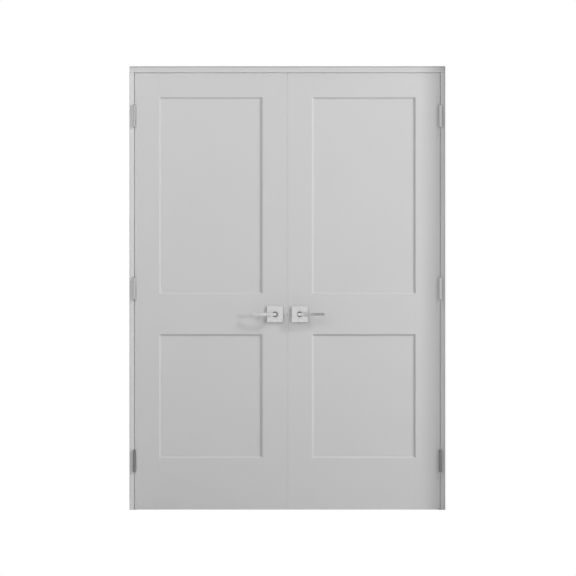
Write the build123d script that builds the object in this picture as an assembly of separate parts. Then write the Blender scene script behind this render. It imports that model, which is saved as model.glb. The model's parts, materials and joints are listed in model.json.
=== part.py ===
from build123d import *
import math
import os

# A pair of solid two-panel doors hung in a timber frame. Millimetres, +Z up, the fronts face -Y.
# The origin is under the middle of the whole set. Everything is drawn for the right leaf (+X) and
# mirrored for the left leaf, so the two leaves match.

# Leaves
leaf_width = 711.2
leaf_height = 2032.0
leaf_thickness = 34.9
floor_clearance = 1.0
side_gap = 1.6
head_gap = 1.6
meeting_gap = 0.5
lock_edge_bevel = 3.0
leaf_ease = 1.5

# Stiles and rails, by the width of their flat faces
stile_face = 114.3
top_rail_face = 111.6
lock_rail_face = 185.4
bottom_rail_face = 239.9
lower_opening = 577.8

# The moulded inner edge of stiles and rails, and the grooves for the panels
sticking_width = 9.0
sticking_depth = 8.0
recess_depth = 9.5
groove_depth = 10.0
glue_space = 0.5
panel_play = 1.0

# Frame
jamb_depth = 115.9
jamb_thickness = 22.2
head_thickness = 30.5
frame_ease = 1.5
tongue_thickness = 12.0
tongue_height = 10.0
tongue_setback = 12.0
stop_thickness = 11.0
stop_width = 35.0
stop_clearance = 1.0
stop_ease = 2.5

# Hinges
hinge_heights = {"top": 1833.5, "middle": 1030.0, "bottom": 228.0}
hinge_height = 101.6
hinge_inset = 28.6
plate_thickness = 2.4
plate_corner = 15.9
pin_proud = 8.0
knuckle_radius = 6.5
knuckle_count = 5
knuckle_gap = 0.3
knuckle_clearance = 0.5
pin_radius = 3.15
pin_play = 0.05
pin_tip_radius = 4.9
pin_tip_height = 2.8
pin_tip_bevel = 1.0
screw_hole_radius = 2.4
countersink_radius = 4.4
countersink_depth = 1.8
screw_near_edge = 9.0
screw_far_edge = 19.5
screw_outer_height = 38.0
screw_inner_height = 13.0

# Levers and roses
handle_height = 910.0
backset = 57.0
rose_size = 76.0
rose_thickness = 9.5
rose_wall = 1.6
rose_corner = 3.0
rose_edge = 1.2
rose_plate_thickness = 5.0
journal_radius = 10.0
journal_play = 0.06
rose_hole_play = 0.6
hub_radius = 12.5
hub_chamfer = 2.0
hub_gap = 0.4
lever_projection = 57.5
lever_reach = 116.0
bar_height = 13.0
bar_thickness = 9.0
bar_straight = 24.0
bar_fall = 14.0
bar_tip_thinning = 2.0
bar_ease = 1.0
spindle_side = 7.6
spindle_depth = 25.0
cross_bore_radius = 27.0
rose_bolt_radius = 2.5
rose_bolt_spacing = 42.0
rose_bolt_head_radius = 4.2
rose_bolt_head_height = 2.2

# Latch, its faceplate and its strike
latch_throw = 11.2
latch_bolt_width = 12.0
latch_bolt_height = 13.0
latch_bolt_inside = 14.6
latch_bevel = 8.0
latch_rod_radius = 3.0
latch_rod_length = 17.0
latch_case_radius = 11.8
latch_case_past_hub = 14.0
latch_bore_radius = 12.0
latch_play = 0.3
cam_radius = 7.9
cam_play = 0.1
cam_length = 20.0
faceplate_height = 57.2
faceplate_width = 25.4
faceplate_thickness = 2.4
edge_plate_corner = 6.3
edge_screw_spacing = 42.0
strike_width = 28.6
strike_thickness = 1.6
strike_lip_height = 32.0
strike_hole_play = 1.0
strike_pocket_depth = 14.0

# Flush bolts in the lock edge of the right leaf
flush_plate_length = 152.4
flush_plate_width = 19.0
flush_plate_thickness = 2.5
flush_trough_width = 14.0
flush_trough_depth = 16.0
flush_trough_wall = 1.6
flush_trough_end = 12.0
flush_rod_inset = 9.0
flush_rod_radius = 4.7
flush_rod_play = 0.3
flush_rod_length = 108.0
flush_throw = 19.0
flush_end_setback = 0.5
thumb_length = 14.0
thumb_width = 8.0
thumb_below_face = 0.5
flush_screw_setback = 7.0
head_strike_length = 44.0
head_strike_width = 22.0
head_strike_hole_play = 0.8
head_strike_screw_spacing = 31.0
head_socket_depth = 20.0

# Places worked out from the sizes above
front = (lever_projection - jamb_depth) / 2
middle = front + leaf_thickness / 2
frame_back = front + jamb_depth
lock_edge = meeting_gap / 2
hinge_edge = lock_edge + leaf_width
jamb_face = hinge_edge + side_gap
jamb_outer = jamb_face + jamb_thickness
leaf_bottom = floor_clearance
leaf_top = leaf_bottom + leaf_height
head_underside = leaf_top + head_gap
frame_top = head_underside + head_thickness
lock_setback = leaf_thickness * math.tan(math.radians(lock_edge_bevel))
lower_opening_bottom = leaf_bottom + bottom_rail_face
lower_opening_top = lower_opening_bottom + lower_opening
upper_opening_bottom = lower_opening_top + lock_rail_face
upper_opening_top = leaf_top - top_rail_face
hinge_axis_x = hinge_edge + side_gap / 2
hinge_axis_y = front - pin_proud
hub_x = lock_edge + backset

# The lock edge leans back, so its fittings are drawn square and then placed in this frame: its
# X goes into the leaf, its Y across the thickness, and its origin is on the edge's centre line.
lock_edge_place = Pos(lock_edge + lock_setback / 2, middle, 0) * Rot(0, 0, -lock_edge_bevel)


def block(x, y, z):
    """A rectangular block between two limits on each axis."""
    size = (x[1] - x[0], y[1] - y[0], z[1] - z[0])
    return Pos(sum(x) / 2, sum(y) / 2, sum(z) / 2) * Box(*size)


def outline_face(points, eased=(), ease=0.0):
    """A flat face inside an outline, with the corners listed in eased rounded off."""
    face = Sketch() + make_face(Polyline(*points, close=True))
    if not eased:
        return face
    corners = [face.vertices().sort_by_distance((x, y, 0))[0] for x, y in eased]
    return fillet(corners, ease)


def upright_prism(points, bottom, top, eased=(), ease=0.0):
    """A plan outline in X and Y, drawn up from bottom to top."""
    return Pos(0, 0, bottom) * extrude(outline_face(points, eased, ease), top - bottom)


def level_prism(points, start, end, eased=(), ease=0.0):
    """A section outline in Y and Z, drawn along X from start to end."""
    section = Plane.YZ * outline_face(points, eased, ease)
    return Pos(start, 0, 0) * extrude(section, end - start)


def y_rod(radius, x, z, start, end):
    """A round rod along Y."""
    return Pos(x, (start + end) / 2, z) * Rot(90, 0, 0) * Cylinder(radius, abs(end - start))


def x_rod(radius, y, z, start, end):
    """A round rod along X."""
    return Pos((start + end) / 2, y, z) * Rot(0, 90, 0) * Cylinder(radius, abs(end - start))


def mirrored(shape):
    """The same shape for the left leaf."""
    return mirror(shape, about=Plane.YZ)


# Joinery of a leaf


def plain_edge(place, setback=0.0):
    """A flat edge, from the front face to the back, which may lean back from the front corner."""
    return [(place, front), (place + setback, front + leaf_thickness)]


def stuck_edge(place, outward):
    """A moulded inner edge: a bevel on each face and the panel groove between them."""
    lip = place + outward * sticking_width
    groove = lip - outward * groove_depth
    half = [
        (place, 0.0),
        (lip, sticking_depth),
        (lip, recess_depth),
        (groove, recess_depth),
    ]
    front_half = [(across, front + depth) for across, depth in half]
    back_half = [(across, front + leaf_thickness - depth) for across, depth in reversed(half)]
    return front_half + back_half


def stile_stock(outer_edge, inner_edge):
    """A whole upright of the leaf, before any hole or mortise is cut."""
    points = outer_edge + inner_edge[::-1]
    return upright_prism(points, leaf_bottom, leaf_top, outer_edge, leaf_ease)


def rail(lower_edge, upper_edge, stiles):
    """A rail whose ends are coped over the stiles' mouldings and tenoned into their grooves."""
    points = [(depth, height) for height, depth in lower_edge + upper_edge[::-1]]
    tenon_reach = groove_depth - sticking_width - glue_space
    start = lock_edge + stile_face - tenon_reach
    end = hinge_edge - stile_face + tenon_reach
    return level_prism(points, start, end) - stiles


def panel(bottom, top):
    """A flat panel that floats in the grooves with room to move."""
    hidden = groove_depth - sticking_width - panel_play
    x = (lock_edge + stile_face - hidden, hinge_edge - stile_face + hidden)
    y = (front + recess_depth, front + leaf_thickness - recess_depth)
    return block(x, y, (bottom - hidden, top + hidden))


def leaf_joinery():
    """The seven timber pieces of a leaf, before its fittings are let in."""
    lock_stile = stile_stock(plain_edge(lock_edge, lock_setback), stuck_edge(lock_edge + stile_face, 1))
    hinge_stile = stile_stock(plain_edge(hinge_edge), stuck_edge(hinge_edge - stile_face, -1))
    stiles = lock_stile + hinge_stile
    return {
        "lock_stile": lock_stile,
        "hinge_stile": hinge_stile,
        "top_rail": rail(stuck_edge(upper_opening_top, -1), plain_edge(leaf_top), stiles),
        "lock_rail": rail(
            stuck_edge(lower_opening_top, -1), stuck_edge(upper_opening_bottom, 1), stiles
        ),
        "bottom_rail": rail(plain_edge(leaf_bottom), stuck_edge(lower_opening_bottom, 1), stiles),
        "upper_panel": panel(upper_opening_bottom, upper_opening_top),
        "lower_panel": panel(lower_opening_bottom, lower_opening_top),
    }


# Hinges


def hinge_blank(face_x, inward, start_y, height):
    """The flat of a hinge plate, from start_y to its rounded back corners, let in from face_x."""
    end_y = front + hinge_inset
    low, high = height - hinge_height / 2, height + hinge_height / 2
    points = [(start_y, low), (end_y, low), (end_y, high), (start_y, high)]
    flat = level_prism(points, 0, plate_thickness, points[1:3], plate_corner)
    return Pos(face_x if inward > 0 else face_x - plate_thickness, 0, 0) * flat


def knuckle(place, height, radius, spare=0.0):
    """One of the barrel's knuckles, counted up from the bottom one, longer by spare at each end."""
    pitch = hinge_height / knuckle_count
    centre = height - hinge_height / 2 + (place + 0.5) * pitch
    return Pos(hinge_axis_x, hinge_axis_y, centre) * Cylinder(radius, pitch - knuckle_gap + 2 * spare)


def screw_places(height):
    """Centres of a hinge plate's four screw holes, as Y and Z."""
    near, far = front + screw_near_edge, front + screw_far_edge
    pairs = [(near, screw_outer_height), (far, screw_inner_height)]
    return [(y, height + side * z) for y, z in pairs for side in (-1, 1)]


def countersunk_hole(y, z, face_x, inward):
    """A screw hole through a hinge plate, opened out towards the gap."""
    shank = x_rod(screw_hole_radius, y, z, face_x, face_x + inward * plate_thickness)
    cone = Cone(screw_hole_radius, countersink_radius, countersink_depth)
    turned = Rot(0, -90 * inward, 0) * cone
    return shank + Pos(face_x + inward * countersink_depth / 2, y, z) * turned


def hinge_plate(face_x, inward, height, own_places, bore_radius):
    """One half of a hinge: its plate, its knuckles and the room for the other half's knuckles."""
    plate = hinge_blank(face_x, inward, hinge_axis_y, height)
    for place in range(knuckle_count):
        if place not in own_places:
            plate -= knuckle(place, height, knuckle_radius + knuckle_clearance, knuckle_gap)
    for place in own_places:
        plate += knuckle(place, height, knuckle_radius)
    plate -= Pos(hinge_axis_x, hinge_axis_y, height) * Cylinder(bore_radius, 2 * hinge_height)
    for y, z in screw_places(height):
        plate -= countersunk_hole(y, z, face_x, inward)
    return plate


def frame_hinge_plate(height):
    """The half with three knuckles, which is fixed to the jamb."""
    return hinge_plate(jamb_face, 1, height, range(0, knuckle_count, 2), pin_radius)


def door_hinge_plate(height):
    """The half with two knuckles, which is fixed to the leaf."""
    return hinge_plate(hinge_edge, -1, height, range(1, knuckle_count, 2), pin_radius + pin_play)


def hinge_pin(height):
    """A pin with a bevelled button on each end of the barrel."""
    tip = Cylinder(pin_tip_radius, pin_tip_height)
    tip = chamfer(tip.edges().filter_by(GeomType.CIRCLE).sort_by(Axis.Z)[-1], pin_tip_bevel)
    lift = (hinge_height + pin_tip_height) / 2
    top, bottom = Pos(0, 0, lift) * tip, Pos(0, 0, -lift) * Rot(180, 0, 0) * tip
    pin = Cylinder(pin_radius, hinge_height) + top + bottom
    return Pos(hinge_axis_x, hinge_axis_y, height) * pin


# Frame


def side_tongue():
    """The tongue on top of a jamb, hidden in the head."""
    x_centre = (jamb_face + jamb_outer) / 2
    x = (x_centre - tongue_thickness / 2, x_centre + tongue_thickness / 2)
    y = (front + tongue_setback, frame_back - tongue_setback)
    return block(x, y, (head_underside, head_underside + tongue_height))


def side_jamb():
    """A jamb with eased corners, its tongue, and a shallow mortise for each hinge plate."""
    corners = [
        (jamb_face, front),
        (jamb_outer, front),
        (jamb_outer, frame_back),
        (jamb_face, frame_back),
    ]
    jamb = upright_prism(corners, 0, head_underside, corners, frame_ease) + side_tongue()
    for height in hinge_heights.values():
        jamb -= hinge_blank(jamb_face, 1, front - 1, height)
    return jamb


def head_strike():
    """The plate let into the head, through which the upper flush bolt passes."""
    sketch = RectangleRounded(head_strike_length, head_strike_width, edge_plate_corner)
    sketch -= Circle(flush_rod_radius + head_strike_hole_play)
    sketch -= GridLocations(head_strike_screw_spacing, 0, 2, 1) * Circle(screw_hole_radius)
    return flush_rod_place(head_underside) * extrude(sketch, strike_thickness)


def head_jamb():
    """The head, which lies over both jambs, with housings for their tongues."""
    corners = [
        (front, head_underside),
        (frame_back, head_underside),
        (frame_back, frame_top),
        (front, frame_top),
    ]
    head = level_prism(corners, -jamb_outer, jamb_outer, corners, frame_ease)
    head -= side_tongue()
    head -= mirrored(side_tongue())
    seat = RectangleRounded(head_strike_length, head_strike_width, edge_plate_corner)
    head -= flush_rod_place(head_underside) * extrude(seat, strike_thickness)
    socket = Cylinder(
        flush_rod_radius + head_strike_hole_play,
        head_socket_depth,
        align=(Align.CENTER, Align.CENTER, Align.MIN),
    )
    return head - flush_rod_place(head_underside) * socket


def stop_section(face, away):
    """A stop's section: its back on the frame at face, two eased corners on its free side."""
    start = front + leaf_thickness + stop_clearance
    tip = face + away * stop_thickness
    return [(face, start), (tip, start), (tip, start + stop_width), (face, start + stop_width)]


def side_stop():
    """The strip on a jamb that the closed leaf meets."""
    points = stop_section(jamb_face, -1)
    return upright_prism(points, 0, head_underside - stop_thickness, points[1:3], stop_ease)


def head_stop():
    """The strip under the head, between the jambs."""
    points = [(depth, height) for height, depth in stop_section(head_underside, -1)]
    return level_prism(points, -jamb_face, jamb_face, points[1:3], stop_ease)


# Levers and roses, drawn on the front face of the right leaf


def rose():
    """A square cover, pressed hollow, with bevelled edges and a round hole for the lever."""
    outer = extrude(RectangleRounded(rose_size, rose_size, rose_corner), rose_thickness)
    outer = chamfer(outer.faces().sort_by(Axis.Z)[-1].edges(), rose_edge)
    inside = rose_size - 2 * rose_wall
    outer -= extrude(Rectangle(inside, inside), rose_thickness - rose_wall)
    outer -= Cylinder(journal_radius + rose_hole_play, 3 * rose_thickness)
    return handle_place() * outer


def rose_plate():
    """The mounting plate under a rose, with the lever's bearing and two bolt holes."""
    inside = rose_size - 2 * rose_wall
    plate = Rectangle(inside, inside) - Circle(journal_radius + journal_play)
    plate -= GridLocations(0, rose_bolt_spacing, 1, 2) * Circle(rose_bolt_radius)
    return handle_place() * extrude(plate, rose_plate_thickness)


def handle_place():
    """On the front face at the lever's axis, with local Z out of the face and local X along +X."""
    return Plane((hub_x, front, handle_height), x_dir=(1, 0, 0), z_dir=(0, -1, 0)).location


def lever_bar():
    """A flat bar that runs out from the hub and then curves gently back towards the leaf."""
    outer, inner = lever_projection, lever_projection - bar_thickness
    tip = (lever_reach, outer - bar_fall)
    inner_tip = (lever_reach - bar_tip_thinning, inner - bar_fall + bar_tip_thinning)
    edge = Line((0, outer), (bar_straight, outer))
    edge += TangentArc((bar_straight, outer), tip, tangent=(1, 0))
    edge += Line(tip, inner_tip)
    edge += TangentArc((bar_straight, inner), inner_tip, tangent=(1, 0))
    edge += Line((bar_straight, inner), (0, inner))
    edge += Line((0, inner), (0, outer))
    bar = extrude(make_face(edge), bar_height / 2, both=True)
    bar = chamfer(bar.edges().filter_by(lambda e: abs(e.center().Z) > bar_height / 2 - 0.1), bar_ease)
    return Rot(90, 0, 0) * bar


def lever(seat_gap):
    """A lever: its round hub, its journal with a square socket, and its bar."""
    up = (Align.CENTER, Align.CENTER, Align.MIN)
    seat = rose_thickness + seat_gap
    hub = Pos(0, 0, seat) * Cylinder(hub_radius, lever_projection - seat, align=up)
    hub = chamfer(hub.faces().sort_by(Axis.Z)[-1].edges(), hub_chamfer)
    journal = Cylinder(journal_radius, seat, align=up)
    socket = Box(spindle_side, spindle_side, spindle_depth, align=up)
    return handle_place() * (hub + lever_bar() + journal - socket)


def rose_bolts():
    """The two bolts that clamp the rose plates to the leaf, their heads under the back rose."""
    bolts = []
    back = front + leaf_thickness + rose_plate_thickness
    for side in (-1, 1):
        z = handle_height + side * rose_bolt_spacing / 2
        shank = y_rod(rose_bolt_radius, hub_x, z, front - rose_plate_thickness, back)
        bolts.append(shank + y_rod(rose_bolt_head_radius, hub_x, z, back, back + rose_bolt_head_height))
    return bolts


def on_back(shape):
    """The same fitting on the back face of the leaf."""
    return mirror(shape, about=Plane.XZ.offset(-middle))


def spindle():
    """The square bar that joins the two levers through the latch."""
    half = spindle_side / 2
    x = (hub_x - half, hub_x + half)
    y = (front - spindle_depth, front + leaf_thickness + spindle_depth)
    return block(x, y, (handle_height - half, handle_height + half))


# Latch, faceplate and strike, drawn in the frame of the lock edge


def edge_face(width, height, extra=None):
    """A rounded plate outline lying in the lock edge, width across the leaf and height up it."""
    sketch = RectangleRounded(width, height, edge_plate_corner)
    place = Plane((0, 0, handle_height), x_dir=(0, 1, 0), z_dir=(1, 0, 0))
    return place * (sketch + extra if extra else sketch)


def faceplate():
    """The latch's faceplate, with the bolt's opening and two screw holes."""
    plate = extrude(edge_face(faceplate_width, faceplate_height), faceplate_thickness)
    opening = latch_channel(0, faceplate_thickness)
    plate -= Rot(0, 0, lock_edge_bevel) * opening
    return plate - edge_screw_holes(handle_height, faceplate_thickness)


def edge_screw_holes(height, thickness):
    """Two screw holes above and below the middle of a plate in the lock edge."""
    places = (height - edge_screw_spacing / 2, height + edge_screw_spacing / 2)
    return [x_rod(screw_hole_radius, 0, z, -1, thickness + 1) for z in places]


def latch_channel(start, end):
    """The room that the square part of the latch bolt slides in."""
    half_width = latch_bolt_width / 2 + latch_play
    half_height = latch_bolt_height / 2 + latch_play
    z = (handle_height - half_height, handle_height + half_height)
    return block((start - 2, end + 2), (-half_width, half_width), z)


def strike_outline():
    """The strike's outline: a rounded plate with a lip that reaches the leaf's front face."""
    lip_reach = leaf_thickness / 2 - leaf_ease
    lip = Pos(-lip_reach / 2, 0) * Rectangle(lip_reach, strike_lip_height)
    return edge_face(strike_width, faceplate_height, lip)


def strike_hole(start, end):
    """The square opening behind which the latch bolt rests."""
    half_width = latch_bolt_width / 2 + strike_hole_play
    half_height = latch_bolt_height / 2 + strike_hole_play
    z = (handle_height - half_height, handle_height + half_height)
    return block((start, end), (-half_width, half_width), z)


def strike():
    """The latch strike in the right leaf's lock edge."""
    plate = extrude(strike_outline(), strike_thickness)
    plate -= strike_hole(-1, strike_thickness + 1)
    plate -= edge_screw_holes(handle_height, strike_thickness)
    return lock_edge_place * plate


def latch_bolt():
    """The bolt: a square head with a slanted nose, and a round rod behind it."""
    half_width = latch_bolt_width / 2
    tip = latch_throw - lock_setback / 2 - lock_edge
    nose = [
        (-tip, middle - half_width),
        (-tip, middle - half_width + 2),
        (-tip + latch_bevel, middle + half_width),
        (latch_bolt_inside, middle + half_width),
        (latch_bolt_inside, middle - half_width),
    ]
    half_height = latch_bolt_height / 2
    head = upright_prism(nose, handle_height - half_height, handle_height + half_height)
    rod_end = latch_bolt_inside + latch_rod_length
    return head + x_rod(latch_rod_radius, middle, handle_height, latch_bolt_inside, rod_end)


def latch_case():
    """The round case in the edge, hollow for the bolt, with a cross hole for the cam."""
    start = lock_edge + lock_setback / 2 + faceplate_thickness / math.cos(math.radians(lock_edge_bevel))
    flare = latch_case_radius * math.tan(math.radians(lock_edge_bevel))
    end = hub_x + latch_case_past_hub
    case = x_rod(latch_case_radius, middle, handle_height, start + flare, end)
    channel_end = latch_bolt_inside + latch_throw + latch_play
    case -= Pos(0, middle, 0) * latch_channel(start, channel_end - 2)
    rod_end = latch_bolt_inside + latch_rod_length + latch_throw + latch_play
    case -= x_rod(latch_rod_radius + latch_play, middle, handle_height, start, rod_end)
    reach = 2 * latch_case_radius
    return case - y_rod(cam_radius + cam_play, hub_x, handle_height, middle - reach, middle + reach)


def latch_cam():
    """The round cam that the spindle turns inside the latch case."""
    cam = y_rod(cam_radius, hub_x, handle_height, middle - cam_length / 2, middle + cam_length / 2)
    return cam - spindle()


# Flush bolts, drawn at the top of the right leaf's lock edge


def flush_rod_place(height):
    """The axis of the flush bolt's rod, at a height."""
    centre = lock_edge_place * Pos(flush_rod_inset, 0, 0)
    return Pos(centre.position.X, centre.position.Y, height)


def flush_housing_stock():
    """The flush bolt's edge plate with the trough behind it, solid."""
    bottom = leaf_top - flush_plate_length
    half_plate, half_trough = flush_plate_width / 2, flush_trough_width / 2
    plate = block((0, flush_plate_thickness), (-half_plate, half_plate), (bottom, leaf_top))
    x = (flush_plate_thickness, flush_trough_depth)
    z = (bottom + flush_trough_end, leaf_top)
    return plate + block(x, (-half_trough, half_trough), z)


def flush_housing():
    """The housing, hollow for the rod, with the thumb slide's slot and two screw holes."""
    housing = flush_housing_stock()
    rod_room = flush_rod_radius + flush_rod_play
    inside = flush_trough_width / 2 - flush_trough_wall
    bottom = leaf_top - flush_plate_length
    x = (flush_plate_thickness, flush_trough_depth - flush_trough_wall)
    cavity_top = leaf_top - flush_throw
    cavity_bottom = bottom + flush_trough_end + flush_trough_wall
    housing -= block(x, (-inside, inside), (cavity_bottom, cavity_top))
    housing -= Pos(flush_rod_inset, 0, leaf_top) * Cylinder(rod_room, 3 * flush_throw)
    slot_low = thumb_bottom() - flush_rod_play
    slot_high = thumb_bottom() + thumb_length + flush_throw + flush_rod_play
    half_slot = thumb_width / 2 + flush_rod_play
    housing -= block((-1, flush_plate_thickness + 1), (-half_slot, half_slot), (slot_low, slot_high))
    for z in (bottom + flush_screw_setback, leaf_top - flush_screw_setback):
        housing -= x_rod(screw_hole_radius, 0, z, -1, flush_plate_thickness + 1)
    return lock_edge_place * housing


def thumb_bottom():
    """The lower end of the thumb slide when the bolt is drawn back."""
    return leaf_top - flush_end_setback - flush_rod_length


def flush_bolt():
    """The sliding rod with its thumb slide."""
    rod = Pos(flush_rod_inset, 0, thumb_bottom() + flush_rod_length / 2)
    rod = rod * Cylinder(flush_rod_radius, flush_rod_length)
    x = (thumb_below_face, flush_rod_inset)
    z = (thumb_bottom(), thumb_bottom() + thumb_length)
    thumb = block(x, (-thumb_width / 2, thumb_width / 2), z)
    return lock_edge_place * (rod + thumb)


def at_bottom(shape):
    """The same fitting at the bottom of the leaf."""
    return mirror(shape, about=Plane.XY.offset((leaf_bottom + leaf_top) / 2))


# The fittings let into each leaf


def cut_hinge_mortises(stile):
    """Shallow mortises for the three hinge plates."""
    for height in hinge_heights.values():
        stile -= hinge_blank(hinge_edge, -1, front - 1, height)
    return stile


def cut_active_lock_stile(stile):
    """The bores for the latch and the levers, and the mortise for the faceplate."""
    back = front + leaf_thickness
    stile -= y_rod(cross_bore_radius, hub_x, handle_height, front - 1, back + 1)
    stile -= x_rod(latch_bore_radius, middle, handle_height, -1, hub_x)
    seat = extrude(edge_face(faceplate_width, faceplate_height), faceplate_thickness)
    return stile - lock_edge_place * seat


def cut_inactive_lock_stile(stile):
    """Holes for the rose bolts, the strike's mortise and pocket, and the flush bolts' mortises."""
    back = front + leaf_thickness
    for side in (-1, 1):
        z = handle_height + side * rose_bolt_spacing / 2
        stile -= y_rod(rose_bolt_radius, hub_x, z, front - 1, back + 1)
    stile -= lock_edge_place * extrude(strike_outline(), strike_thickness)
    stile -= lock_edge_place * strike_hole(0, strike_pocket_depth)
    mortise = lock_edge_place * flush_housing_stock()
    return stile - mortise - at_bottom(mortise)


def handed(name, shape, side):
    """A named piece for one leaf, as drawn for the right and mirrored for the left."""
    return {f"{side}_{name}": shape if side == "right" else mirrored(shape)}


def leaf_pieces(side):
    """Every piece that is alike on both leaves."""
    pieces = {}
    joinery = leaf_joinery()
    joinery["hinge_stile"] = cut_hinge_mortises(joinery["hinge_stile"])
    cut_lock_stile = cut_active_lock_stile if side == "left" else cut_inactive_lock_stile
    joinery["lock_stile"] = cut_lock_stile(joinery["lock_stile"])
    for name, shape in joinery.items():
        pieces |= handed(name, shape, side)
    for name, height in hinge_heights.items():
        pieces |= handed(f"{name}_door_hinge_plate", door_hinge_plate(height), side)
    seat_gap = hub_gap if side == "left" else 0.0
    for name, shape in {"rose": rose(), "rose_plate": rose_plate(), "lever": lever(seat_gap)}.items():
        pieces |= handed(f"front_{name}", shape, side)
        pieces |= handed(f"back_{name}", on_back(shape), side)
    pieces |= handed("rose_bolts", Compound(rose_bolts()), side)
    return pieces


def frame_pieces():
    """The frame, the halves of the hinges that stay with it, their pins and the head strike."""
    pieces = {"head_jamb": head_jamb(), "head_stop": head_stop(), "head_strike": head_strike()}
    pins = []
    for side in ("left", "right"):
        pieces |= handed("jamb", side_jamb(), side)
        pieces |= handed("stop", side_stop(), side)
        for name, height in hinge_heights.items():
            pieces |= handed(f"{name}_frame_hinge_plate", frame_hinge_plate(height), side)
            pins += handed(name, hinge_pin(height), side).values()
    pieces["hinge_pins"] = Compound(pins)
    return pieces


def latch_pieces():
    """The latch in the left leaf and what turns with its levers."""
    return {
        "left_latch_faceplate": mirrored(lock_edge_place * faceplate()),
        "left_latch_case": mirrored(latch_case()),
        "left_latch_bolt": mirrored(latch_bolt()),
        "left_latch_cam": mirrored(latch_cam()),
        "left_spindle": mirrored(spindle()),
    }


def edge_fittings():
    """The strike and the two flush bolts in the right leaf."""
    return {
        "right_latch_strike": strike(),
        "right_top_flush_housing": flush_housing(),
        "right_bottom_flush_housing": at_bottom(flush_housing()),
        "right_top_flush_bolt": flush_bolt(),
        "right_bottom_flush_bolt": at_bottom(flush_bolt()),
    }


os.makedirs("parts", exist_ok=True)
door_set = frame_pieces() | leaf_pieces("left") | leaf_pieces("right") | latch_pieces() | edge_fittings()
for node, piece in door_set.items():
    export_step(piece, f"parts/{node}.step")
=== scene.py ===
import json
import math

import bpy
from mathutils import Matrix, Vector

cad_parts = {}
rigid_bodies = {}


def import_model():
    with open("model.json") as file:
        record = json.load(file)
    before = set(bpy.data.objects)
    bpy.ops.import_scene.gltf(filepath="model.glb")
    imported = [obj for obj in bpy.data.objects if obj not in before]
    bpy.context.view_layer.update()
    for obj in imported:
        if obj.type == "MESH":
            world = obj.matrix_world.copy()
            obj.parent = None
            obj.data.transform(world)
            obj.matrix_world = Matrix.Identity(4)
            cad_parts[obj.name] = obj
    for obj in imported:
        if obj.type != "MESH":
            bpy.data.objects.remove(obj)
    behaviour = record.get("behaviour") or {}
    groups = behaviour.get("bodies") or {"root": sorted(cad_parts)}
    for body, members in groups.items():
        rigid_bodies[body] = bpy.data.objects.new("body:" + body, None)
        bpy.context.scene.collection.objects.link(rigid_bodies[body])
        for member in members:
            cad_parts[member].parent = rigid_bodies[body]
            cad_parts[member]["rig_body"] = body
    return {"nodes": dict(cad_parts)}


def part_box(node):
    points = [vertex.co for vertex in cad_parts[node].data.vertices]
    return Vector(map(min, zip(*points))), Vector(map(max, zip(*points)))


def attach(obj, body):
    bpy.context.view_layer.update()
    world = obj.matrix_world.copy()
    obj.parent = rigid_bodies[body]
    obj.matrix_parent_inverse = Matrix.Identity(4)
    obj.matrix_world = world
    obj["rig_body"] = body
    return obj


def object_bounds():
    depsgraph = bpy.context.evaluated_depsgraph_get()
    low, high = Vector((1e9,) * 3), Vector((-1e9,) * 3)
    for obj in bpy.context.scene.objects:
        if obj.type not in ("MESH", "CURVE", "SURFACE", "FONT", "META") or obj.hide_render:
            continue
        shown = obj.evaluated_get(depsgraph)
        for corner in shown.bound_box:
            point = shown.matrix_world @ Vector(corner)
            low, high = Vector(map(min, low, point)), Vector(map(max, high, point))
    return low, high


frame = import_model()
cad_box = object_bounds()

# Looks for a pair of painted doors in their frame. Metres, +Z up, the fronts face -Y.
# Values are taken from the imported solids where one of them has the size.

NODES = frame["nodes"]

# Paint, as a linear grey, and how much darker its uneven places are
PAINT_GREY = 0.60
JAMB_LIFT = 1.12
PAINT_ROUGHNESS = 0.42
PAINT_IOR = 1.46
CLOUD_DEPTH = 0.035
GRAIN_DEPTH = 0.016
DUST_DEPTH = 0.05
WEAR_DEPTH = 0.10
WEAR_REACH = 0.0035

# The paint's noises, in features to a metre, and how far two of them are stretched
NOISE_MIDDLE = 0.5
GRAIN_FINENESS = 95.0
GRAIN_STRETCH = 0.035
STIPPLE_FINENESS = 620.0
SWELL_FINENESS = 9.0
CLOUD_FINENESS = 2.3
SCUFF_FINENESS = 38.0
SCUFF_STRETCH = (1.0, 1.0, 0.45)
PATCH_FINENESS = 55.0

# Where in their noise the scuffs and worn patches begin and are full, and the heights of floor dust
SCUFF_EDGES = (0.60, 0.74)
PATCH_EDGES = (0.42, 0.66)
DUST_HEIGHTS = (0.02, 0.42)

# How much rougher the paint's uneven places are
CLOUD_ROUGHENING = 0.10
STIPPLE_ROUGHENING = 0.08
WEAR_ROUGHENING = 0.14
SCUFF_ROUGHENING = 0.10

# The paint's relief: its height in metres and its strength
SWELL_RELIEF = (0.0009, 0.35)
GRAIN_RELIEF = (0.00022, 0.55)
STIPPLE_RELIEF = (0.00008, 0.6)

# Painted shade in a band round the frame's front, deeper on the right, and how much of it the sides show
OUTER_BAND = 0.008
OUTER_BAND_BLUR = 0.001
OUTER_BAND_DEPTH = 0.20
OUTER_SIDE_SHARE = 0.15
OUTER_RIGHT_SHARE = 0.25
OUTER_RIGHT_SPAN = (-0.2, 0.5)

# Painted shade along the edges where the two leaves meet, by its distance from the middle of the set
MEETING_BAND_EDGES = (0.00182, 0.0026)
MEETING_SHADE_DEPTH = 0.17

# Metal finishes, as linear greys
NICKEL_GREY = 0.69
NICKEL_ROUGHNESS = 0.24
NICKEL_STAIN = 0.05
HINGE_GREY = 0.68
HINGE_ROUGHNESS = 0.32
HINGE_STAIN = 0.10
# How much darker the hinges are painted near the floor, a painted shade for the darker floor their metal
# mirrors, and the heights it fades between
HINGE_LOW_SHADE = 0.58
HINGE_SHADE_HEIGHTS = (0.30, 0.90)
# The pins' grey is painted darker, a painted shade for the shadowed ends of the pins under the knuckles
PIN_SHADE_FACTOR = 0.55
ZINC_GREY = 0.50
ZINC_ROUGHNESS = 0.34
SCREW_GREY = 0.46

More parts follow.
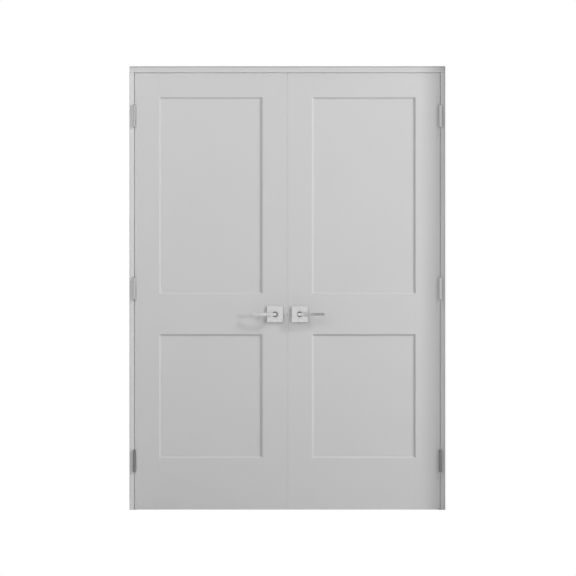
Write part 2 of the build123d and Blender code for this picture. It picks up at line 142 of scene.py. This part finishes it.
# Brushed metal: its brush lines, handling marks and cloudy tarnish
BRUSH_FINENESS = 2200.0
BRUSH_STRETCH = 0.02
BRUSH_CONTRAST = 0.08
BRUSH_ROUGHENING = 0.14
BRUSH_RELIEF = (0.00003, 0.5)
MARK_FINENESS = 120.0
MARK_EDGES = (0.50, 0.72)
MARK_ROUGHENING = 0.12
TARNISH_FINENESS = 26.0
TARNISH_CONTRAST = 0.06
TARNISH_ROUGHENING = 0.06

# Dulled steel: its blotches and fine scratches
BLOTCH_FINENESS = 180.0
BLOTCH_CONTRAST = 0.14
BLOTCH_ROUGHENING = 0.20
BLOTCH_RELIEF = (0.00005, 0.35)
SCRATCH_FINENESS = 700.0
SCRATCH_STRETCH = (1.0, 0.12, 0.3)
SCRATCH_EDGES = (0.62, 0.70)
SCRATCH_CONTRAST = 0.10
SCRATCH_SMOOTHING = 0.06
SCRATCH_RELIEF = (0.00002, 0.4)

# Painted shade on the levers: a dark ring round each neck for the shadowed gap there, by its distance from
# the lever's axis, the bar across it, and a darker right bar for a darker reflection
RING_INNER = 0.0078
RING_OUTER = 0.0128
RING_BLUR = 0.0007
RING_SHADE_DEPTH = 0.84
RIGHT_RING_OPENING = 0.75
BAR_HALF_HEIGHT = 0.0065
BAR_PAINTED_SHADE = 0.24

# Screws
HINGE_HEAD_RADIUS = 0.0043
HINGE_HEAD_SINK = 0.0017
PLATE_HEAD_RADIUS = 0.0036
PLATE_HEAD_SINK = 0.0015
PLATE_HEAD_PROUD = 0.00015
SCREW_SHANK_RADIUS = 0.0022
SCREW_LENGTH = 0.019
SCREW_SEED = 11

# A screw's shape: the sides of its cones, its shank's taper and the bars of the cross in its head
HEAD_SIDES = 28
SHANK_SIDES = 12
SHANK_TAPER = 0.3
CROSS_LENGTH = 1.05
CROSS_WIDTH = 0.26
CROSS_DEPTH = 1.5

# The hinge screws, from the edges and the middle of each plate: the plates' holes lie in two rows
NEAR_ROW_INSET = 0.0196
FAR_ROW_INSET = 0.0091
OUTER_HOLE_HEIGHT = 0.038
INNER_HOLE_HEIGHT = 0.013

# The other plates' screws: how far they stand from the plate's middle or from its ends
LOCK_EDGE_LEAN = math.radians(3)
PLATE_SPREAD = 0.021
FLUSH_SCREW_INSET = 0.007
HEAD_STRIKE_SPREAD = 0.0155

# The photograph's framing
PICTURE_PIXELS = 576
MILLIMETRES_PER_PIXEL = 4.655
CAMERA_X = 0.0030
CAMERA_DISTANCE = 6.0

# The lamps: places, widths and heights in metres, and watts
KEY_PLACE = (3.84, -2.72, 1.5)
KEY_SIZE = (0.32, 0.8)
KEY_WATTS = 62
HIGH_PLACE = (3.84, -2.72, 4.2)
HIGH_SIZE = (0.32, 1.4)
HIGH_WATTS = 116
LEFT_PLACE = (-1.6, -2.6, 2.6)
LEFT_SIZE = (1.6, 1.6)
LEFT_WATTS = 37
BACK_PLACE = (-1.4, 3.4, 3.0)
BACK_SIZE = (2.4, 2.0)
BACK_WATTS = 110
SKY_STRENGTH = 0.20

# The floor, which turns white to the camera between two distances from the doors
FLOOR_GREY = 0.71
FLOOR_MOTTLE = 0.02
MOTTLE_FINENESS = 14.0
FLOOR_ROUGHNESS = 0.6
FLOOR_REACH = 30.0
FLOOR_FADE_NEAR = 2.4
FLOOR_FADE_FAR = 6.0

# What metal mirrors: bright straight ahead, a little to the left, and darker towards the sides
MIRROR_MOST = 1.0
MIRROR_LEAST = 0.40
MIRROR_CENTRE = -0.05
MIRROR_LEFT_REACH = 0.75
MIRROR_RIGHT_REACH = 0.42
MIRROR_SIDE = 0.70
MIRROR_SIDE_EDGES = (0.70, 0.95)

# The board that keeps the two keys off the right edge of the set, clear of the open leaf
FLAG_EDGE = (1.286, -0.544)
FLAG_WIDTH = 0.9
FLAG_HEIGHT = 2.6


class Wire:
    """A node's output. Arithmetic on it adds Math nodes to its tree."""

    def __init__(self, finish, socket):
        self.finish = finish
        self.socket = socket

    def math(self, operation, *values):
        return self.finish.node("ShaderNodeMath", {"operation": operation}, values)

    def __add__(self, other):
        return self.math("ADD", self, other)

    def __radd__(self, other):
        return self.math("ADD", other, self)

    def __sub__(self, other):
        return self.math("SUBTRACT", self, other)

    def __rsub__(self, other):
        return self.math("SUBTRACT", other, self)

    def __mul__(self, other):
        return self.math("MULTIPLY", self, other)

    def __rmul__(self, other):
        return self.math("MULTIPLY", other, self)

    def __pow__(self, other):
        return self.math("POWER", self, other)

    def __abs__(self):
        return self.math("ABSOLUTE", self)

    def swing(self):
        """How far a noise is from its middle."""
        return self - NOISE_MIDDLE

    def least(self, other):
        return self.math("MINIMUM", self, other)

    def most(self, other):
        return self.math("MAXIMUM", self, other)

    def rising(self, low, high):
        """0 below low, 1 above high and smooth between them."""
        settings = {"interpolation_type": "SMOOTHSTEP"}
        return self.finish.node("ShaderNodeMapRange", settings, [self, low, high, 0.0, 1.0])

    def falling(self, low, high):
        """1 below low, 0 above high and smooth between them."""
        settings = {"interpolation_type": "SMOOTHSTEP"}
        return self.finish.node("ShaderNodeMapRange", settings, [self, low, high, 1.0, 0.0])


class Finish:
    """One material and the nodes that make it."""

    def __init__(self, name):
        self.material = bpy.data.materials.new(name)
        self.material.use_nodes = True
        self.tree = self.material.node_tree
        self.tree.nodes.clear()

    def node(self, kind, settings=None, sockets=(), output=0):
        """Adds a node: its settings first, then the value, the wire or the list of wires of each socket."""
        made = self.tree.nodes.new(kind)
        for name, value in (settings or {}).items():
            setattr(made, name, value)
        pairs = sockets.items() if isinstance(sockets, dict) else enumerate(sockets)
        for key, value in pairs:
            for wire in value if isinstance(value, list) else [value]:
                if isinstance(wire, Wire):
                    self.tree.links.new(wire.socket, made.inputs[key])
                else:
                    made.inputs[key].default_value = wire
        return Wire(self, made.outputs[output]) if made.outputs else made

    def place(self, scale):
        """Object coordinates, stretched by scale."""
        where = self.node("ShaderNodeTexCoord", output="Object")
        return self.node("ShaderNodeMapping", {"vector_type": "POINT"}, {"Vector": where, "Scale": scale})

    def axes(self):
        """Object coordinates as three numbers."""
        where = self.node("ShaderNodeTexCoord", output="Object")
        split = self.node("ShaderNodeSeparateXYZ", sockets=[where])
        outputs = split.socket.node.outputs
        return [Wire(self, outputs[n]) for n in range(3)]

    def noise(self, scale, detail=3.0, roughness=0.5, stretch=(1, 1, 1)):
        """Noise from 0 to 1, with scale features to a metre."""
        sockets = {
            "Vector": self.place(stretch),
            "Scale": scale,
            "Detail": detail,
            "Roughness": roughness,
        }
        return self.node("ShaderNodeTexNoise", {"noise_dimensions": "3D"}, sockets, "Fac")

    def grey(self, value):
        """A grey colour from a number."""
        return self.node("ShaderNodeCombineColor", sockets=[value, value, value])

    def bump(self, height, distance, strength=1.0, under=None):
        """A normal from a height field in metres of distance."""
        sockets = {"Strength": strength, "Distance": distance, "Height": height}
        if under is not None:
            sockets["Normal"] = under
        return self.node("ShaderNodeBump", sockets=sockets)

    def finish(self, **sockets):
        """The surface itself. Its inputs are named as on the shader, with spaces as underscores."""
        named = {name.replace("_", " "): value for name, value in sockets.items()}
        surface = self.node("ShaderNodeBsdfPrincipled", sockets=named)
        self.node("ShaderNodeOutputMaterial", sockets=[surface])
        return self.material


def arris_nearness(finish, box, reach):
    """1 on the long corners of a piece and 0 further than reach from them."""
    low, high = box
    gaps = []
    for axis, along in enumerate(finish.axes()):
        gaps.append((along - low[axis]).least(high[axis] - along))
    a, b, c = gaps
    second = a.least(b).most(a.most(b).least(c))
    return second.falling(0.0, reach)


# Painted timber


def paint(name, box, grain_axis, grey, shaded=None):
    """Satin paint rolled over smooth timber, with the grain just telling along grain_axis."""
    finish = Finish(name)
    x, y, z = finish.axes()
    along = tuple(GRAIN_STRETCH if axis == grain_axis else 1.0 for axis in range(3))
    grain = finish.noise(GRAIN_FINENESS, detail=5.0, roughness=0.62, stretch=along)
    stipple = finish.noise(STIPPLE_FINENESS, detail=2.0)
    swell = finish.noise(SWELL_FINENESS, detail=2.0)
    cloud = finish.noise(CLOUD_FINENESS, roughness=0.55)
    scuffs = finish.noise(SCUFF_FINENESS, detail=6.0, roughness=0.7, stretch=SCUFF_STRETCH)
    dust = scuffs.rising(*SCUFF_EDGES) * z.falling(*DUST_HEIGHTS)
    patches = finish.noise(PATCH_FINENESS, detail=4.0, roughness=0.6).rising(*PATCH_EDGES)
    wear = arris_nearness(finish, box, WEAR_REACH) * patches
    shade = 1.0 - CLOUD_DEPTH * cloud.swing() - GRAIN_DEPTH * grain.swing()
    shade = shade - DUST_DEPTH * dust - WEAR_DEPTH * wear
    # shaded, where given, darkens the colour with painted shade
    if shaded is not None:
        shade = shade * (1.0 - shaded(x, y, z))
    value = shade * grey
    rough = PAINT_ROUGHNESS + CLOUD_ROUGHENING * cloud.swing() + STIPPLE_ROUGHENING * stipple.swing()
    rough = rough + WEAR_ROUGHENING * wear + SCUFF_ROUGHENING * dust
    relief = finish.bump(swell, *SWELL_RELIEF)
    relief = finish.bump(grain, *GRAIN_RELIEF, relief)
    relief = finish.bump(stipple, *STIPPLE_RELIEF, relief)
    return finish.finish(Base_Color=finish.grey(value), Roughness=rough, IOR=PAINT_IOR, Normal=relief)


def frame_edge_painted_shade(side_place, top_place):
    """Painted shade: a darker band along the outer edges of the frame's front, deeper on the right."""

    def shaded(x, y, z):
        beside = abs(x).rising(side_place - OUTER_BAND, side_place - OUTER_BAND + OUTER_BAND_BLUR)
        above = z.rising(top_place - OUTER_BAND, top_place - OUTER_BAND + OUTER_BAND_BLUR)
        share = OUTER_SIDE_SHARE + OUTER_RIGHT_SHARE * x.rising(*OUTER_RIGHT_SPAN)
        return above.most(beside * share) * OUTER_BAND_DEPTH

    return shaded


def meeting_painted_shade(x, y, z):
    """Painted shade along the edges where the two leaves meet, standing in for the shadow in the gap."""
    return abs(x).falling(*MEETING_BAND_EDGES) * MEETING_SHADE_DEPTH


# Metals


def brushed_metal(name, grey, roughness, brush_axis, stain=NICKEL_STAIN, darkened=None):
    """A plated metal with fine brush lines along brush_axis and faint handling marks."""
    finish = Finish(name)
    along = tuple(BRUSH_STRETCH if axis == brush_axis else 1.0 for axis in range(3))
    lines = finish.noise(BRUSH_FINENESS, roughness=0.6, stretch=along)
    marks = finish.noise(MARK_FINENESS, detail=5.0, roughness=0.62).rising(*MARK_EDGES)
    tarnish = finish.noise(TARNISH_FINENESS)
    value = 1.0 + BRUSH_CONTRAST * lines.swing() - stain * marks + TARNISH_CONTRAST * tarnish.swing()
    value = grey * value
    # darkened, where given, is painted shade on the metal's colour
    if darkened is not None:
        value = value * (1.0 - darkened(*finish.axes()))
    rough = roughness + BRUSH_ROUGHENING * lines.swing()
    rough = rough + MARK_ROUGHENING * marks + TARNISH_ROUGHENING * tarnish.swing()
    relief = finish.bump(lines, *BRUSH_RELIEF)
    return finish.finish(Base_Color=finish.grey(value), Metallic=1.0, Roughness=rough, Normal=relief)


def worn_metal(name, grey, roughness):
    """Plated steel that has dulled unevenly, with a few fine scratches."""
    finish = Finish(name)
    blotch = finish.noise(BLOTCH_FINENESS, detail=5.0, roughness=0.6)
    scratches = finish.noise(SCRATCH_FINENESS, detail=2.0, stretch=SCRATCH_STRETCH).rising(*SCRATCH_EDGES)
    value = grey * (1.0 + BLOTCH_CONTRAST * blotch.swing() + SCRATCH_CONTRAST * scratches)
    rough = roughness + BLOTCH_ROUGHENING * blotch.swing() - SCRATCH_SMOOTHING * scratches
    relief = finish.bump(blotch, *BLOTCH_RELIEF)
    relief = finish.bump(scratches, *SCRATCH_RELIEF, relief)
    return finish.finish(Base_Color=finish.grey(value), Metallic=1.0, Roughness=rough, Normal=relief)


def lever_painted_shade():
    """Painted shade on the levers: a dark ring round each neck, which the bar crosses on its own side, and
    a darker right bar for a darker reflection.
    """
    low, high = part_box("right_front_rose")
    hub_x, hub_z = (low.x + high.x) / 2, (low.z + high.z) / 2

    def darkened(x, y, z):
        across = abs(x) - hub_x
        up = abs(z - hub_z)
        radius = (across * across + up * up) ** 0.5
        outside_neck = radius.rising(RING_INNER - RING_BLUR, RING_INNER)
        ring = outside_neck * radius.falling(RING_OUTER, RING_OUTER + RING_BLUR)
        bar_side = across.rising(0.0, RING_BLUR).most(x.rising(0.0, hub_x) * RIGHT_RING_OPENING)
        bar = bar_side * up.falling(BAR_HALF_HEIGHT - RING_BLUR, BAR_HALF_HEIGHT)
        # Painted shade that darkens the right lever's bar away from its neck
        bar_shade = across.rising(0.0, hub_x / 2) * x.rising(0.0, hub_x) * BAR_PAINTED_SHADE
        return bar_shade.most(RING_SHADE_DEPTH * ring * (1.0 - bar))

    return darkened


def hinge_low_painted_shade(x, y, z):
    """Painted shade: the hinges darker nearer the floor, standing in for the darker floor their metal
    mirrors.
    """
    return HINGE_LOW_SHADE * z.falling(*HINGE_SHADE_HEIGHTS)


# Which finish each solid gets


def give(node, material):
    """Puts one material on every slot of a solid."""
    slots = NODES[node].data.materials
    if not slots:
        slots.append(material)
    for place in range(len(slots)):
        slots[place] = material


def paint_timber():
    """Paints every timber piece, with its grain the way the piece was cut."""
    highest = cad_box[1]
    frame_painted_shade = frame_edge_painted_shade(highest[0], highest[2])
    level = ("rail", "head_jamb", "head_stop")
    upright = ("stile", "jamb", "stop", "panel")
    for node in sorted(NODES):
        is_level = any(word in node for word in level)
        if not is_level and not any(node.endswith(word) for word in upright):
            continue
        shaded = None
        # The jambs get painted shade along the frame's outer edges
        if node.endswith("jamb"):
            shaded = frame_painted_shade
        # The lock stiles get painted shade along the gap between the leaves
        elif node.endswith("lock_stile"):
            shaded = meeting_painted_shade
        grey = PAINT_GREY * JAMB_LIFT if node in ("left_jamb", "right_jamb") else PAINT_GREY
        give(node, paint(node + "_paint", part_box(node), 0 if is_level else 2, grey, shaded))


def plate_metals():
    """Plates the hinges, levers, roses, latch and bolts."""
    # The levers carry painted shade: the dark neck rings and the darker right bar
    lever = brushed_metal("lever_nickel", NICKEL_GREY, NICKEL_ROUGHNESS, 0, darkened=lever_painted_shade())
    nickel_upright = brushed_metal("nickel_brushed_upright", NICKEL_GREY, NICKEL_ROUGHNESS, 2)
    # The hinges carry painted shade that deepens towards the floor
    hinge = brushed_metal("hinge_plating", HINGE_GREY, HINGE_ROUGHNESS, 2, HINGE_STAIN, hinge_low_painted_shade)
    # The pins are painted darker, a painted shade at their ends
    pin = worn_metal("hinge_pin_shaded_plating", HINGE_GREY * PIN_SHADE_FACTOR, HINGE_ROUGHNESS)
    zinc = worn_metal("zinc_plating", ZINC_GREY, ZINC_ROUGHNESS)
    for node in sorted(NODES):
        if "lever" in node:
            give(node, lever)
        elif node.endswith("rose"):
            give(node, nickel_upright)
        elif "hinge_plate" in node:
            give(node, hinge)
        elif node == "hinge_pins":
            give(node, pin)
        elif any(word in node for word in ("faceplate", "strike", "flush")):
            give(node, nickel_upright)
        elif any(word in node for word in ("latch", "spindle", "bolts", "rose_plate")):
            give(node, zinc)


# Screws, set by a node tree on one point for each hole


class ScrewTree(Finish):
    """The tree that puts a countersunk cross-head screw on every point of a mesh."""

    def __init__(self, material):
        self.tree = bpy.data.node_groups.new("countersunk_screws", "GeometryNodeTree")
        face = self.tree.interface
        face.new_socket("Points", in_out="INPUT", socket_type="NodeSocketGeometry")
        for name in ("Head radius", "Head sink", "Shank radius", "Length"):
            face.new_socket(name, in_out="INPUT", socket_type="NodeSocketFloat")
        face.new_socket("Seed", in_out="INPUT", socket_type="NodeSocketInt")
        face.new_socket("Screws", in_out="OUTPUT", socket_type="NodeSocketGeometry")
        self.inputs = self.tree.nodes.new("NodeGroupInput").outputs
        real = self.node("GeometryNodeRealizeInstances", sockets=[self.on_points(self.screw())])
        plated = self.node("GeometryNodeSetMaterial", sockets={"Geometry": real, "Material": material})
        self.node("NodeGroupOutput", sockets=[plated])

    def given(self, name):
        """One of the tree's named inputs."""
        return Wire(self, self.inputs[name])

    def vector(self, **parts):
        """A vector from its X, Y and Z, with 0 for those left out."""
        return self.node("ShaderNodeCombineXYZ", sockets=parts)

    def moved(self, shape, up):
        """A shape moved along Z."""
        sockets = {"Geometry": shape, "Translation": self.vector(Z=up)}
        return self.node("GeometryNodeTransform", sockets=sockets)

    def cone(self, sides, top, bottom, depth):
        """A cone frustum that stands on Z 0."""
        sockets = {"Vertices": sides, "Radius Top": top, "Radius Bottom": bottom, "Depth": depth}
        return self.node("GeometryNodeMeshCone", {"fill_type": "NGON"}, sockets, "Mesh")

    def cross_bar(self, length, width):
        """One bar of the cross cut into the head, from shares of the head's radius."""
        radius = self.given("Head radius")
        sink = self.given("Head sink")
        size = self.vector(X=radius * length, Y=radius * width, Z=sink * CROSS_DEPTH)
        return self.moved(self.node("GeometryNodeMeshCube", sockets={"Size": size}, output="Mesh"), sink)

    def screw(self):
        """A screw that points down, with the top of its head at Z 0."""
        shank_radius = self.given("Shank radius")
        sink = self.given("Head sink")
        length = self.given("Length")
        head = self.cone(HEAD_SIDES, self.given("Head radius"), shank_radius, sink)
        shank = self.cone(SHANK_SIDES, shank_radius, shank_radius * SHANK_TAPER, length)
        bars = [self.cross_bar(CROSS_LENGTH, CROSS_WIDTH), self.cross_bar(CROSS_WIDTH, CROSS_LENGTH)]
        sockets = {"Mesh 1": head, "Mesh 2": bars}
        cut = self.node("GeometryNodeMeshBoolean", {"operation": "DIFFERENCE"}, sockets, "Mesh")
        parts = [cut, self.moved(shank, length * -1.0)]
        return self.moved(self.node("GeometryNodeJoinGeometry", sockets=[parts]), sink * -1.0)

    def on_points(self, screw):
        """A copy of the screw on each point, facing the way of its plate and turned at random."""
        settings = {"data_type": "FLOAT_VECTOR"}
        facing = self.node("GeometryNodeInputNamedAttribute", settings, {"Name": "facing"}, "Attribute")
        aim = self.node("FunctionNodeAlignRotationToVector", {"axis": "Z"}, {"Vector": facing})
        # The random value's fourth input is the most of its number output, which is its second
        sockets = {3: math.pi, "Seed": self.given("Seed")}
        turn = self.node("FunctionNodeRandomValue", {"data_type": "FLOAT"}, sockets, 1)
        spin = self.node("FunctionNodeAxisAngleToRotation", sockets={"Axis": (0, 0, 1), "Angle": turn})
        sockets = {"Rotation": aim, "Rotate By": spin}
        turned = self.node("FunctionNodeRotateRotation", {"rotation_space": "LOCAL"}, sockets)
        sockets = {"Points": self.given("Points"), "Instance": screw, "Rotation": turned}
        return self.node("GeometryNodeInstanceOnPoints", sockets=sockets)


def set_screws(name, tree, places, head_radius, head_sink):
    """Screws on (point, facing) places, returned as one plain mesh."""
    points = bpy.data.meshes.new(name + "_points")
    points.from_pydata([point for point, facing in places], [], [])
    attribute = points.attributes.new("facing", "FLOAT_VECTOR", "POINT")
    attribute.data.foreach_set("vector", [n for point, facing in places for n in facing])
    carrier = bpy.data.objects.new(name + "_points", points)
    bpy.context.scene.collection.objects.link(carrier)
    modifier = carrier.modifiers.new("screws", "NODES")
    modifier.node_group = tree
    sizes = {
        "Head radius": head_radius,
        "Head sink": head_sink,
        "Shank radius": SCREW_SHANK_RADIUS,
        "Length": SCREW_LENGTH,
        "Seed": SCREW_SEED,
    }
    for item in tree.interface.items_tree:
        if item.in_out == "INPUT" and item.name in sizes:
            modifier[item.identifier] = sizes[item.name]
    carrier.update_tag()
    graph = bpy.context.evaluated_depsgraph_get()
    made = bpy.data.meshes.new_from_object(carrier.evaluated_get(graph))
    bpy.data.objects.remove(carrier)
    return made


def hinge_screw_places(node):
    """The four screws of one hinge plate."""
    low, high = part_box(node)
    middle = (low.z + high.z) / 2
    side = -1 if high.x < 0 else 1
    on_frame = "frame_hinge" in node
    facing = -side if on_frame else side
    return [
        (Vector((plate_face(node), high.y - inset, middle + up * height)), (facing, 0, 0))
        for inset, height in ((NEAR_ROW_INSET, OUTER_HOLE_HEIGHT), (FAR_ROW_INSET, INNER_HOLE_HEIGHT))
        for up in (-1, 1)
    ]


def plate_face(node):
    """The X of a hinge plate's face, which lies flush with the timber it is let into."""
    side = -1 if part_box(node)[1].x < 0 else 1
    prefix = "left" if side < 0 else "right"
    if "frame_hinge" in node:
        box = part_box(prefix + "_jamb")
        return box[1].x if side < 0 else box[0].x
    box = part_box(prefix + "_hinge_stile")
    return box[0].x if side < 0 else box[1].x


def lock_edge_screws(node, heights):
    """Screws at some heights in a plate let into a lock edge, which leans back by LOCK_EDGE_LEAN."""
    side = -1 if node.startswith("left") else 1
    low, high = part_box(node)
    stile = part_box("left_lock_stile" if side < 0 else "right_lock_stile")
    middle = (stile[0].y + stile[1].y) / 2
    nearest = min(abs(low.x), abs(high.x))
    face = side * (nearest + (middle - low.y) * math.tan(LOCK_EDGE_LEAN))
    facing = Vector((-side * math.cos(LOCK_EDGE_LEAN), math.sin(LOCK_EDGE_LEAN), 0))
    return [(Vector((face, middle, z)) + facing * PLATE_HEAD_PROUD, facing) for z in heights]


def plate_screw_places(node):
    """The two screws of a faceplate, a strike or a flush bolt's housing."""
    low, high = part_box(node)
    middle = (low + high) / 2
    if node == "head_strike":
        sides = (-HEAD_STRIKE_SPREAD, HEAD_STRIKE_SPREAD)
        drop = low.z - PLATE_HEAD_PROUD
        return [(Vector((middle.x + side, middle.y, drop)), (0, 0, -1)) for side in sides]
    if "flush" in node:
        return lock_edge_screws(node, (low.z + FLUSH_SCREW_INSET, high.z - FLUSH_SCREW_INSET))
    return lock_edge_screws(node, (middle.z - PLATE_SPREAD, middle.z + PLATE_SPREAD))


def screw_group(name, body, tree, places, head_radius, head_sink):
    """One piece that holds all the screws of a kind on one body."""
    mesh = set_screws(name, tree, places, head_radius, head_sink)
    screws = bpy.data.objects.new(name, mesh)
    bpy.context.scene.collection.objects.link(screws)
    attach(screws, body)


def add_screws(material):
    """All the screws, one piece for each kind and each body that they ride on."""
    tree = ScrewTree(material).tree
    for body in ("frame", "left_leaf", "right_leaf"):
        nodes = [node for node in sorted(NODES) if NODES[node]["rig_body"] == body]
        hinges = [node for node in nodes if "hinge_plate" in node]
        plates = [node for node in nodes if node.endswith(("faceplate", "strike", "housing"))]
        places = [place for node in hinges for place in hinge_screw_places(node)]
        screw_group(body + "_hinge_screws", body, tree, places, HINGE_HEAD_RADIUS, HINGE_HEAD_SINK)
        places = [place for node in plates for place in plate_screw_places(node)]
        screw_group(body + "_plate_screws", body, tree, places, PLATE_HEAD_RADIUS, PLATE_HEAD_SINK)


# The room: floor, sky, lamps and camera


def seen_directly(finish):
    """1 for what the camera sees, itself or in metal or glass, and 0 for light."""
    path = finish.node("ShaderNodeLightPath", output="Is Camera Ray")
    outputs = path.socket.node.outputs
    rays = [Wire(finish, outputs[name]) for name in ("Is Glossy Ray", "Is Transmission Ray")]
    return path.most(rays[0]).most(rays[1])


def pale_finish(name, far_white):
    """Plain and pale with the faintest mottle, and white to the camera further off where asked."""
    finish = Finish(name)
    x, y, z = finish.axes()
    value = FLOOR_GREY + FLOOR_MOTTLE * finish.noise(MOTTLE_FINENESS).swing()
    sockets = {"Base Color": finish.grey(value), "Roughness": FLOOR_ROUGHNESS}
    surface = finish.node("ShaderNodeBsdfPrincipled", sockets=sockets)
    if far_white:
        away = (x * x + y * y) ** 0.5
        seen = seen_directly(finish)
        white = finish.node("ShaderNodeEmission", sockets=[(1, 1, 1, 1), 1.0])
        share = seen * away.rising(FLOOR_FADE_NEAR, FLOOR_FADE_FAR)
        surface = finish.node("ShaderNodeMixShader", sockets=[share, surface, white])
    finish.node("ShaderNodeOutputMaterial", sockets=[surface])
    return finish.material


def lay_floor():
    """The floor, wide enough for every view."""
    signs = ((-1, -1), (1, -1), (1, 1), (-1, 1))
    corners = [(x * FLOOR_REACH, y * FLOOR_REACH, 0) for x, y in signs]
    mesh = bpy.data.meshes.new("floor")
    mesh.from_pydata(corners, [], [(0, 1, 2, 3)])
    floor = bpy.data.objects.new("floor", mesh)
    bpy.context.scene.collection.objects.link(floor)
    mesh.materials.append(pale_finish("pale_floor", True))


class Sky(Finish):
    """The world's nodes, which are wired as a material's are."""

    def __init__(self, name):
        self.world = bpy.data.worlds.new(name)
        self.world.use_nodes = True
        self.tree = self.world.node_tree
        self.tree.nodes.clear()

    def light(self, strength):
        """An even white light of some strength."""
        return self.node("ShaderNodeBackground", sockets={"Color": (1, 1, 1, 1), "Strength": strength})

    def blend(self, share, first, second):
        """The first light where share is 0 and the second where it is 1."""
        return self.node("ShaderNodeMixShader", sockets=[share, first, second])


def sky():
    """White to the camera, bright ahead in what metal mirrors, and soft and even on everything."""
    room = Sky("studio")
    bpy.context.scene.world = room.world
    where = room.node("ShaderNodeTexCoord", output="Generated")
    split = room.node("ShaderNodeSeparateXYZ", sockets=[where])
    aside = Wire(room, split.socket.node.outputs["X"]) - MIRROR_CENTRE
    ahead = aside.falling(0.0, MIRROR_RIGHT_REACH) * aside.rising(-MIRROR_LEFT_REACH, 0.0)
    beside = MIRROR_SIDE * aside.rising(*MIRROR_SIDE_EDGES)
    mirrored = MIRROR_LEAST + (MIRROR_MOST - MIRROR_LEAST) * ahead.most(beside)
    path = room.node("ShaderNodeLightPath", output="Is Camera Ray")
    outputs = path.socket.node.outputs
    seen = path.most(Wire(room, outputs["Is Transmission Ray"]))
    glossy = Wire(room, outputs["Is Glossy Ray"])
    soft = room.blend(glossy, room.light(SKY_STRENGTH), room.light(mirrored))
    room.node("ShaderNodeOutputWorld", sockets=[room.blend(seen, soft, room.light(1.0))])


def lamp(name, place, target, size, watts):
    """A lamp that faces a point, so many metres wide and high. Metal mirrors the sky and not the lamp."""
    light = bpy.data.lights.new(name, "AREA")
    light.shape = "RECTANGLE"
    light.size, light.size_y = size
    light.energy = watts
    made = bpy.data.objects.new(name, light)
    bpy.context.scene.collection.objects.link(made)
    made.location = place
    made.rotation_euler = (Vector(target) - Vector(place)).to_track_quat("-Z", "Y").to_euler()
    made.visible_glossy = False


def flag():
    """A board that only casts a shadow, which keeps the two keys off the right edge of the set."""
    x, y = FLAG_EDGE
    towards_key = Vector((KEY_PLACE[0] - x, KEY_PLACE[1] - y)).normalized()
    end = Vector(FLAG_EDGE) + Vector((-towards_key.y, towards_key.x)) * FLAG_WIDTH
    corners = [(x, y, 0), (end.x, end.y, 0), (end.x, end.y, FLAG_HEIGHT), (x, y, FLAG_HEIGHT)]
    mesh = bpy.data.meshes.new("flag")
    mesh.from_pydata(corners, [], [(0, 1, 2, 3)])
    board = bpy.data.objects.new("flag", mesh)
    bpy.context.scene.collection.objects.link(board)
    board.visible_camera = False
    board.visible_glossy = False
    mesh.materials.append(pale_finish("flag_board", False))


def light_the_set():
    """The sky, two keys from the right with their flag, and soft lamps from the left and behind."""
    sky()
    set_middle = (0.0, 0.0, cad_box[1][2] / 2)
    lamp("key", KEY_PLACE, set_middle, KEY_SIZE, KEY_WATTS)
    lamp("high", HIGH_PLACE, set_middle, HIGH_SIZE, HIGH_WATTS)
    lamp("left", LEFT_PLACE, set_middle, LEFT_SIZE, LEFT_WATTS)
    lamp("back", BACK_PLACE, set_middle, BACK_SIZE, BACK_WATTS)
    flag()


def set_camera():
    """A flat-on view with no perspective, framed as the photograph is."""
    height = cad_box[1][2] / 2
    data = bpy.data.cameras.new("camera")
    data.type = "ORTHO"
    data.ortho_scale = PICTURE_PIXELS * MILLIMETRES_PER_PIXEL / 1000
    camera = bpy.data.objects.new("camera", data)
    bpy.context.scene.collection.objects.link(camera)
    camera.location = (CAMERA_X, -CAMERA_DISTANCE, height)
    camera.rotation_euler = (math.pi / 2, 0, 0)
    bpy.context.scene.camera = camera


paint_timber()
plate_metals()
add_screws(worn_metal("screw_plating", SCREW_GREY, HINGE_ROUGHNESS))

set_camera()
lay_floor()
light_the_set()
bpy.context.scene.view_settings.view_transform = "Standard"
